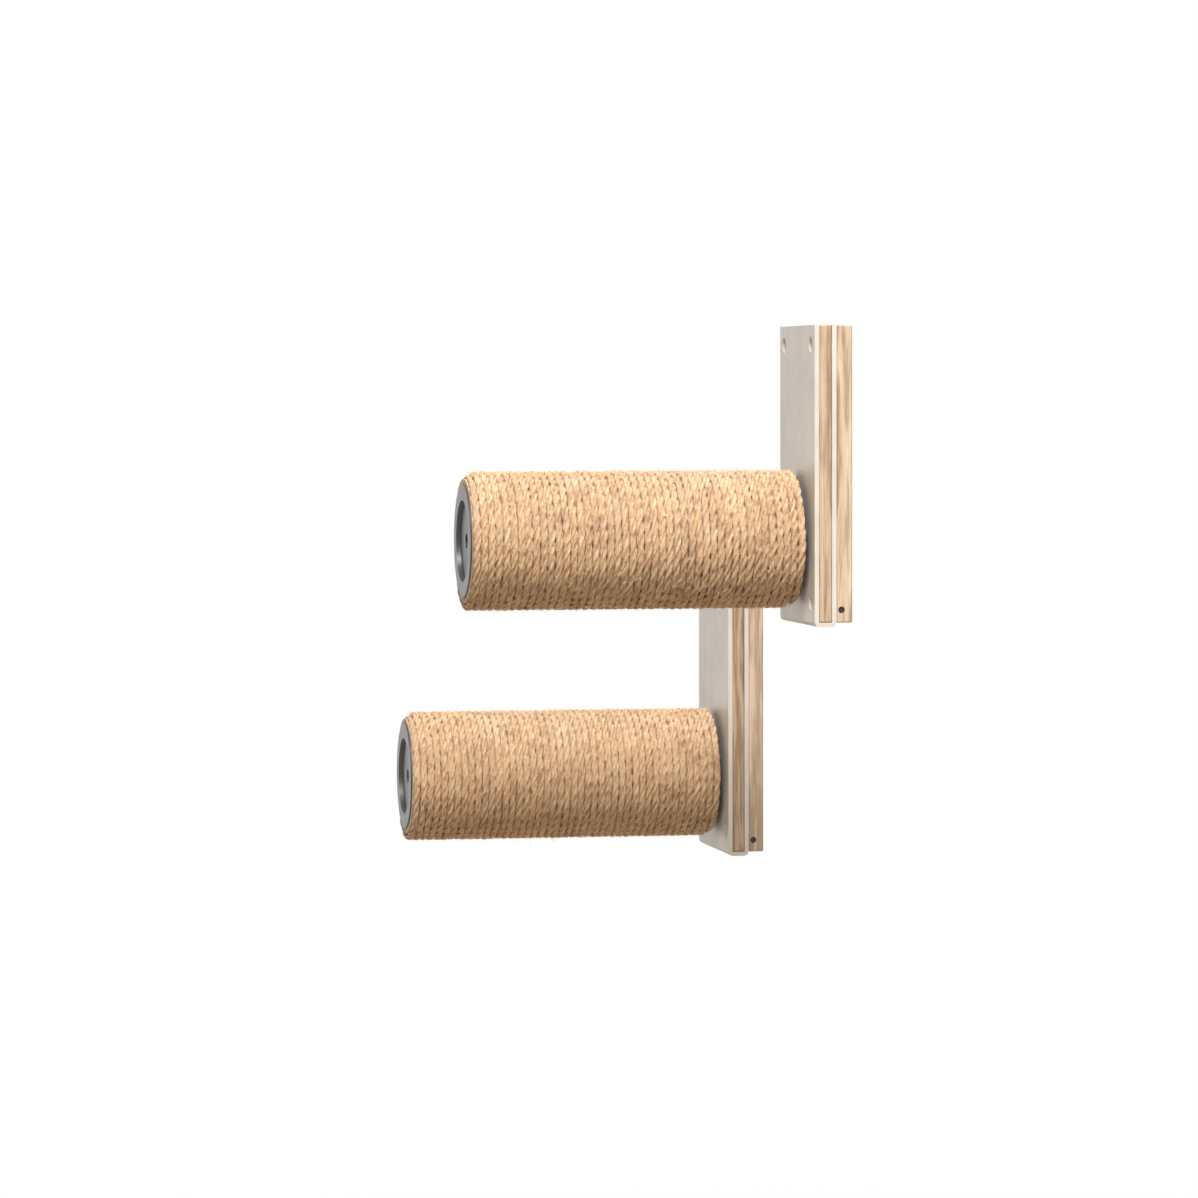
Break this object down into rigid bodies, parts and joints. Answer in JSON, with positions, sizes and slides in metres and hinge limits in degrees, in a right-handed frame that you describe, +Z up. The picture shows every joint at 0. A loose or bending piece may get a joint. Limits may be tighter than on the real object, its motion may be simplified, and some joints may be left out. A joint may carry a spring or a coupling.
{
  "type": "wall mounted cat tree",
  "caption": "Wall mounted cat tree of rope-wound climbing posts, each bolted to its own small mounting board.",
  "frame": {"origin": "centre of the lower step's four wall holes, on the wall", "axes": "+Z up, +Y into the wall, posts stand out along -Y, the upper step is towards +X"},
  "size_m": [0.4, 0.257, 0.383],
  "materials": {
    "jute_rope": "twisted jute, dry and hairy",
    "paper_tube": "spiral-wound paper tube",
    "cap_plastic": "moulded, satin grey",
    "nut_steel": "zinc-plated",
    "spacer_rubber": "hard black rubber",
    "bracket_paint": "off-white powder coat",
    "core_wood": "brown oiled pine",
    "wall_board_wood": "brown oiled pine",
    "plug_plastic": "black"
  },
  "bodies": {
    "root": {"lower_rope_winding": "jute_rope", "lower_paper_tube": "paper_tube", "lower_free_end_cap": "cap_plastic", "lower_wall_end_cap": "cap_plastic", "lower_free_end_nut": "nut_steel", "lower_wall_end_nut": "nut_steel", "lower_post_bolt": "nut_steel", "lower_spacer_bush": "spacer_rubber", "lower_steel_washer": "nut_steel", "lower_steel_bracket": "bracket_paint", "lower_wood_core": "core_wood", "lower_wall_board": "wall_board_wood", "lower_tie_screws": "nut_steel", "lower_side_plugs": "plug_plastic", "upper_rope_winding": "jute_rope", "upper_paper_tube": "paper_tube", "upper_free_end_cap": "cap_plastic", "upper_wall_end_cap": "cap_plastic", "upper_free_end_nut": "nut_steel", "upper_wall_end_nut": "nut_steel", "upper_post_bolt": "nut_steel", "upper_spacer_bush": "spacer_rubber", "upper_steel_washer": "nut_steel", "upper_steel_bracket": "bracket_paint", "upper_wood_core": "core_wood", "upper_wall_board": "wall_board_wood", "upper_tie_screws": "nut_steel", "upper_side_plugs": "plug_plastic"}
  },
  "joints": []
}
